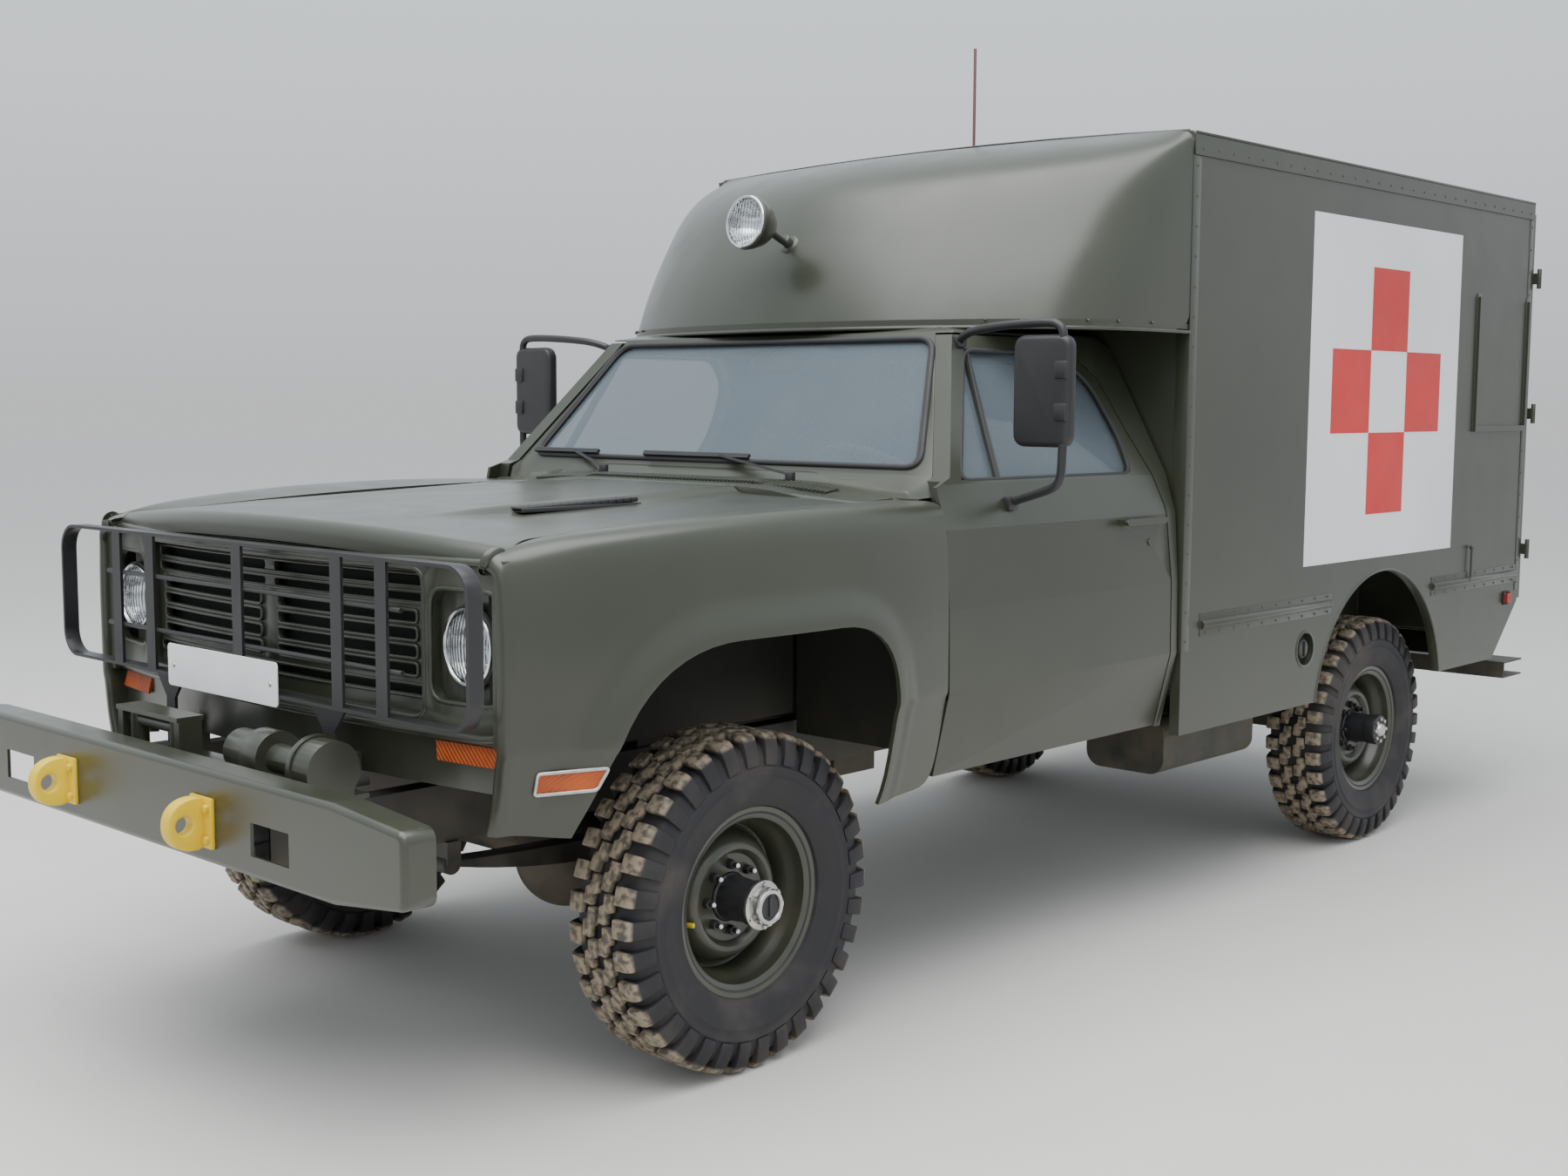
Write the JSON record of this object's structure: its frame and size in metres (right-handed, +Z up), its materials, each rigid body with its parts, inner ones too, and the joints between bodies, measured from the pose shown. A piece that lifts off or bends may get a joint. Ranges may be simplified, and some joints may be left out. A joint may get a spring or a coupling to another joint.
{
  "type": "military ambulance truck",
  "caption": "Olive four-wheel-drive ambulance truck with winch bumper, brush guard, box body with over-cab nose and opening doors.",
  "frame": {"origin": "on the ground on the centre line, midway between the towing eyes' tips and the rear step", "axes": "+X forward, +Y to the truck's left side, +Z up"},
  "size_m": [5.8949, 2.328, 2.848],
  "materials": {
    "body_green": "satin olive paint",
    "chassis_green": "dull olive paint",
    "black_metal": "satin black paint",
    "yellow_paint": "yellow paint",
    "amber_lens": "amber lens",
    "red_lens": "red lens",
    "lamp_glass": "clear lens over chrome",
    "clear_glass": "clear glass",
    "tyre_rubber": "worn rubber with dust",
    "dark_plastic": "matte",
    "seat_cloth": "dark vinyl",
    "cast_block": "oily cast iron"
  },
  "bodies": {
    "truck": {"frame": "chassis_green", "front_bumper": "body_green", "towing_eyes": "yellow_paint", "winch": "body_green", "brush_guard": "black_metal", "grille": "body_green", "headlamps": "lamp_glass", "amber_lamps": "amber_lens", "fender_left": "body_green", "fender_right": "body_green", "cab": "body_green", "windscreen": "clear_glass", "wipers": "black_metal", "dashboard": "dark_plastic", "steering_wheel": "dark_plastic", "seats": "seat_cloth", "engine": "cast_block", "radiator": "black_metal", "body_floor": "body_green", "body_side_left": "body_green", "body_side_right": "body_green", "body_roof": "body_green", "body_nose": "body_green", "body_front_wall": "body_green", "body_rear_frame": "body_green", "tail_lamps": "red_lens", "spotlight": "body_green", "aerial": "black_metal", "fuel_tank": "chassis_green", "exhaust": "chassis_green", "front_axle": "chassis_green", "rear_axle": "chassis_green", "driveline": "chassis_green"},
    "bonnet_lid": {"bonnet": "body_green"},
    "left_door": {"door_left": "body_green", "door_glass_left": "clear_glass", "mirror_left": "black_metal"},
    "right_door": {"door_right": "body_green", "door_glass_right": "clear_glass", "mirror_right": "black_metal"},
    "rear_left_door": {"rear_door_left": "body_green"},
    "rear_right_door": {"rear_door_right": "body_green"},
    "left_knuckle": {"knuckle_left": "chassis_green"},
    "right_knuckle": {"knuckle_right": "chassis_green"},
    "front_left_wheel": {"tyre_front_left": "tyre_rubber", "wheel_front_left": "body_green"},
    "front_right_wheel": {"tyre_front_right": "tyre_rubber", "wheel_front_right": "body_green"},
    "rear_left_wheel": {"tyre_rear_left": "tyre_rubber", "wheel_rear_left": "body_green"},
    "rear_right_wheel": {"tyre_rear_right": "tyre_rubber", "wheel_rear_right": "body_green"}
  },
  "joints": [
    {"name": "bonnet_hinge", "type": "hinge", "parent": "truck", "child": "bonnet_lid", "pos_m": [1.2355, 0, 1.394], "axis": [0, -1, 0], "range_deg": [0, 50]},
    {"name": "left_door_hinge", "type": "hinge", "parent": "truck", "child": "left_door", "pos_m": [1.0325, 0.988, 1], "axis": [0, 0, -1], "range_deg": [0, 65]},
    {"name": "right_door_hinge", "type": "hinge", "parent": "truck", "child": "right_door", "pos_m": [1.0325, -0.988, 1], "axis": [0, 0, 1], "range_deg": [0, 65]},
    {"name": "rear_left_hinge", "type": "hinge", "parent": "truck", "child": "rear_left_door", "pos_m": [-2.7725, 1.022, 1.5], "axis": [0, 0, -1], "range_deg": [0, 255]},
    {"name": "rear_right_hinge", "type": "hinge", "parent": "truck", "child": "rear_right_door", "pos_m": [-2.7725, -1.022, 1.5], "axis": [0, 0, 1], "range_deg": [0, 255]},
    {"name": "steer_left", "type": "hinge", "parent": "truck", "child": "left_knuckle", "pos_m": [1.7325, 0.668, 0.421], "axis": [0, 0, 1], "range_deg": [-28, 28]},
    {"name": "steer_right", "type": "hinge", "parent": "truck", "child": "right_knuckle", "pos_m": [1.7325, -0.668, 0.421], "axis": [0, 0, 1], "range_deg": [-28, 28]},
    {"name": "front_left_roll", "type": "hinge", "parent": "left_knuckle", "child": "front_left_wheel", "pos_m": [1.7325, 0.815, 0.421], "axis": [0, 1, 0], "continuous": true},
    {"name": "front_right_roll", "type": "hinge", "parent": "right_knuckle", "child": "front_right_wheel", "pos_m": [1.7325, -0.815, 0.421], "axis": [0, 1, 0], "continuous": true},
    {"name": "rear_left_roll", "type": "hinge", "parent": "truck", "child": "rear_left_wheel", "pos_m": [-1.5945, 0.815, 0.421], "axis": [0, 1, 0], "continuous": true},
    {"name": "rear_right_roll", "type": "hinge", "parent": "truck", "child": "rear_right_wheel", "pos_m": [-1.5945, -0.815, 0.421], "axis": [0, 1, 0], "continuous": true}
  ],
  "couplings": [
    {"joint": "steer_right", "follows": "steer_left", "ratio": 1}
  ]
}
